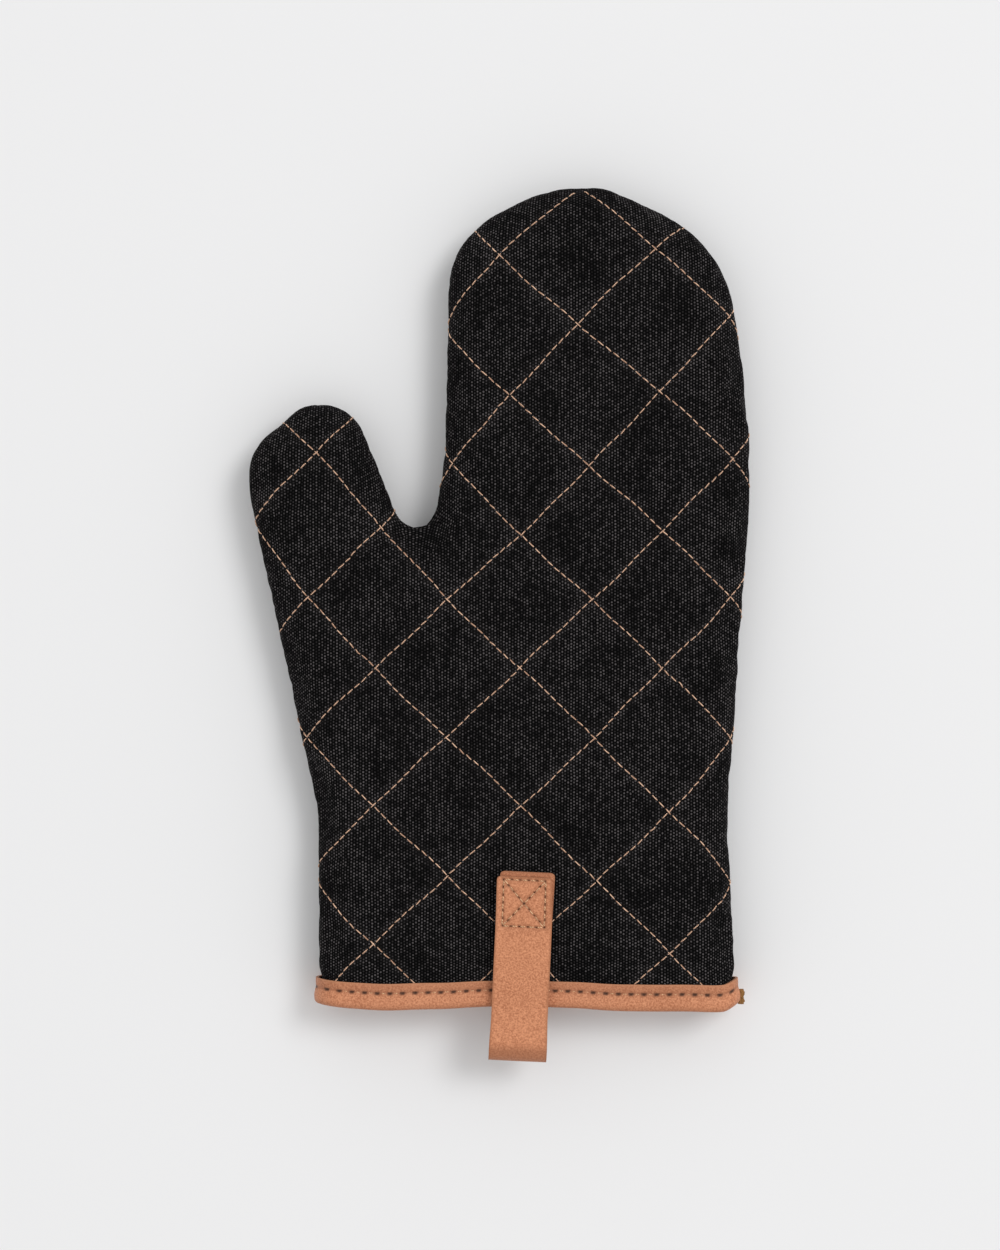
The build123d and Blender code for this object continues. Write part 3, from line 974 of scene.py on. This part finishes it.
# The strip's two ends, turned out side by side at the seam and cut off rough
bpy.ops.object.select_all(action="DESELECT")
ends_at = round_cuff(np.array([0.0]), np.array([0.0024]), np.array([0.0]))[0][0]
bpy.ops.mesh.primitive_cube_add(
    size=1, location=(ends_at[0] + 0.0003, ends_at[1], middle), scale=(0.0022, 0.0058, 0.0024)
)
ends = bpy.context.object
ends.name = ends.data.name = "cuff_strip_ends"
bpy.ops.object.transform_apply(location=True, rotation=True, scale=True)
bpy.ops.object.mode_set(mode="EDIT")
bpy.ops.mesh.select_all(action="SELECT")
bpy.ops.mesh.bevel(offset=0.0004, segments=2, affect="EDGES")
bpy.ops.object.mode_set(mode="OBJECT")
cut_through([(0, 0, middle + height) for height in (-0.00018, 0.0, 0.00018)], (0, 0, 1))
cut_through([(0, ends_at[1] + step * 0.0009, 0) for step in range(-3, 4)], (0, 1, 0))
for point in ends.data.vertices:
    outward = point.co.x - ends_at[0]
    if abs(point.co.z - middle) < 0.0001 and outward > 0:
        point.co.x -= 0.0006
    ragged = sin(point.co.y * 5300) * 0.00022 + sin(point.co.y * 11900 + 1) * 0.00014
    if outward > 0:
        point.co.x += ragged + 0.00035 * cos((point.co.y - ends_at[1]) / 0.0024)
bpy.ops.object.shade_smooth_by_angle(angle=radians(40))
raw_edge, tree, surface = new_material("raw_leather_edge", Specular_IOR_Level=0.2)
tone, height = leather_skin(tree, 2200.0)
colour = blend_colours(tree, tone, (0.12, 0.050, 0.014), (0.40, 0.21, 0.07))
finish(tree, surface, colour, maths(tree, "MULTIPLY_ADD", tone, 0.1, 0.8), height, 0.0004)
dress(ends, raw_edge)
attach(ends, "hand")

leather_thread = thread_material(
    "brown_waxed_thread", shade=(0.24, 0.090, 0.032), colour=(0.84, 0.50, 0.27), turns=620.0
)
binding_stitch = model_stitch(length=0.0031, width=0.00060, rise=0.00026)
binding_stitches = []
for facing, depth in ((1, 0.00072), (1, mouth_wall - 0.0006), (-1, 0.00072), (-1, mouth_wall - 0.0006)):
    for spot in holes[:-1] + binding_pitch / 2:
        if not rims["thumb"][0, 0] + 0.006 < spot < rims["outer"][0, 0] - 0.006:
            continue

        def frame_at(run, spot=spot, facing=facing, depth=depth):
            pair = [(spot + run, binding_row), (spot + run + 0.0003, binding_row)]
            here, ahead = map(Vector, lay(pair, depth, facing, pinch=0))
            deeper = Vector(lay(pair[:1], depth + 0.0004, facing, pinch=0)[0])
            up = deeper - here if depth > 0.002 else here - deeper
            return here, (ahead - here).normalized(), up.normalized()

        binding_stitches.append(frame_at)
binding_thread = sew("cuff_strip_thread", binding_stitch, binding_stitches)
dress(binding_thread, leather_thread)
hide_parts("binding_stitching")
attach(binding_thread, "hand")


# Hanging loop: one leather strap folded double, its two ends laid on each other on
# the front panel and sewn down in a box with a cross. The fold stays open as an eye.
strap_lean = radians(2.7)
strap_top = Vector((0.0103, cuff_y + 0.0546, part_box("front_canvas_hand")[1].z))
strap_down = Vector((-sin(strap_lean), -cos(strap_lean), 0))
strap_right = Vector((cos(strap_lean), -sin(strap_lean), 0))
strap_thick = 0.0015
strap_cell = 0.0004
eye_run, eye_high, eye_bend = 0.0684, -0.0020, 0.00445
box_start, box_long, box_wide = 0.0031, 0.0179, 0.0162
sewn_run = 0.024

# Side view of the strap's middle, as run from its top and height over the panel
neck = (0.0578, 0.00085)
neck_gap = hypot(eye_run - neck[0], neck[1] - eye_high)
last_turn = atan2(neck[1] - eye_high, neck[0] - eye_run) + acos(eye_bend / neck_gap) - 2 * pi
strap_path = [(0.0018, 0.00235), (0.040, 0.00235)]
for t in np.linspace(pi / 2, last_turn, 40):
    strap_path.append((eye_run + eye_bend * cos(t), eye_high + eye_bend * sin(t)))
strap_path += [neck, (0.040, 0.00082), (0, 0.00082)]
strap_path = even_line(np.array(strap_path), strap_cell)
for _ in range(22):
    strap_path[1:-1] = (strap_path[:-2] + 2 * strap_path[1:-1] + strap_path[2:]) / 4
strap_path = even_line(strap_path, strap_cell)

strap, along, across = strip_of_leather("strap", len(strap_path) - 1, 58)
stations = np.round(along * (len(strap_path) - 1)).astype(int)
strap_run, strap_high = strap_path[stations].T
path_way = np.gradient(strap_path, axis=0)
path_way /= np.hypot(*path_way.T)[:, None]
path_up = np.stack([-path_way[:, 1], path_way[:, 0]], axis=1)[stations]
walked = stations * strap_cell
total = (len(strap_path) - 1) * strap_cell
upper = walked < total / 2
from_end = np.minimum(walked, total - walked)
below_box = ease_in(strap_run / sewn_run)
half_wide = 0.01055 + 0.0003 * below_box + 0.0003 * ease_in((strap_run - 0.055) / 0.015)
corner = 0.0016
cut_in = corner - np.sqrt(np.maximum(corner**2 - np.clip(corner - from_end, 0, corner) ** 2, 0))
half_wide = half_wide - cut_in
sideways = (across - 0.5) * 2 * half_wide
shift = np.where(upper, -0.0006, 0.0006) * (1 - below_box)

half_box = box_wide / 2
box_corners = [(-half_box, 0.0), (half_box, 0.0), (half_box, box_long), (-half_box, box_long)]
box_lines = [(box_corners[k], box_corners[(k + 1) % 4], n) for k, n in enumerate((5, 6, 5, 6))]
box_lines += [(box_corners[0], box_corners[2], 8), (box_corners[1], box_corners[3], 8)]
spots = np.column_stack([sideways, strap_run - box_start])
# Needle holes and stitch lines of the box: both sunk into the leather, and painted darker as shade.
line_gap, hole = np.full(len(spots), 1.0), np.zeros(len(spots))
for a, b, count in box_lines:
    a, b = np.array(a), np.array(b)
    t = np.clip((spots - a) @ (b - a) / ((b - a) @ (b - a)), 0, 1)
    gap = np.linalg.norm(spots - (a + t[:, None] * (b - a)), axis=1)
    along_line = (t * count - np.round(t * count)) * hypot(*(b - a)) / count
    hole = np.maximum(hole, np.exp(-((along_line / 0.00075) ** 4) - (gap / 0.00048) ** 2))
    line_gap = np.minimum(line_gap, gap)
line_dip = np.exp(-((line_gap / 0.0012) ** 2)) * upper
hole = hole * upper
lowered = 0.00045 * hole + 0.00028 * line_dip
free = ease_in((strap_run - sewn_run) / 0.01)
sag = 0.0002 * np.sin(strap_run / 0.017) * free
cupped = 0.00018 * (sideways / 0.0107) ** 2 * upper * free
strap_run = strap_run + path_up[:, 0] * -lowered
strap_high = strap_high - lowered + sag - cupped
places = np.array(strap_top) + np.outer(strap_run, strap_down) + np.outer(sideways + shift, strap_right)
places[:, 2] += strap_high
strap.data.vertices.foreach_set("co", places.ravel())
edge_gap = np.minimum(half_wide - np.abs(sideways), from_end)
# Painted shade on the strap: darker round the fold of the eye, along the lines of the stitched box, and
# over the whole lower layer, which lies under the upper one.
bent = ease_in((strap_run - 0.0655) / 0.004)
painted_shade = 0.55 * bent + 0.3 * line_dip + 0.35 * ~upper
keep(strap, "edge_gap_and_shade", np.column_stack([edge_gap, np.clip(hole * 1.9, 0, 1), painted_shade]))
finish_strip(strap, strap_thick, 0, 0.00030)
strap_leather = leather(
    "natural_strap_leather", deep=(0.43, 0.155, 0.070), pale=(0.72, 0.305, 0.155), edge=(0.38, 0.150, 0.070)
)
dress(strap, strap_leather)
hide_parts("hanging_loop", "hanging_loop_end")
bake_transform(strap)

box_stitches = []
for a, b, count in box_lines:
    a, b = np.array(a), np.array(b)
    for k in range(count):
        middle_of = a + (b - a) * (k + 0.5) / count
        way = (b - a) / hypot(*(b - a))

        def frame_at(run, middle_of=middle_of, way=way):
            x, y = middle_of + way * run
            place = strap_top + strap_down * (box_start + y) + strap_right * (x - 0.0003)
            place.z += 0.00285
            return place, strap_right * way[0] + strap_down * way[1], Vector((0, 0, 1))

        box_stitches.append(frame_at)
box_stitch = model_stitch(length=0.0021, width=0.00062, rise=0.00026)
strap_thread = sew("strap_thread", box_stitch, box_stitches)
dress(strap_thread, leather_thread)
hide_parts("loop_box_stitching")
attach(strap_thread, "hand")


# Studio: pale seamless floor, a broad soft light from the upper right, and a
# camera straight above the mitt.
bpy.ops.object.select_all(action="DESELECT")
bpy.ops.mesh.primitive_plane_add(size=10, location=(0, 0, cad_low.z - 0.0002))
floor = bpy.context.object
floor.name = "floor"
floor_paint, tree, surface = new_material("floor_paint", Roughness=0.9)
mottle = shader(tree, "ShaderNodeTexNoise", {"Scale": 3.0, "Detail": 2.0})
paint = blend_colours(tree, mottle.outputs["Fac"], (0.82, 0.82, 0.825), (0.86, 0.86, 0.862))
tree.links.new(paint, surface.inputs["Base Color"])
floor.data.materials.append(floor_paint)

world = bpy.data.worlds.new("studio")
bpy.context.scene.world = world
world.use_nodes = True
backdrop = world.node_tree.nodes["Background"].inputs
backdrop["Color"].default_value = (1, 1, 1, 1)
backdrop["Strength"].default_value = 0.76

key_place = Vector((3.6, 2.5, 5.6))
bpy.ops.object.light_add(type="AREA", location=key_place)
key_light = bpy.context.object
key_light.name = "key_soft_box"
set_all(key_light.data, shape="SQUARE", size=2.8, energy=178)
key_light.rotation_euler = (-key_place).to_track_quat("-Z", "Y").to_euler()

bpy.ops.object.camera_add(location=(0.0002, -0.0002, 1.162), rotation=(0, 0, 0))
camera = bpy.context.object
set_all(camera.data, lens=85, sensor_width=36)
bpy.context.scene.camera = camera
bpy.context.scene.view_settings.view_transform = "Standard"
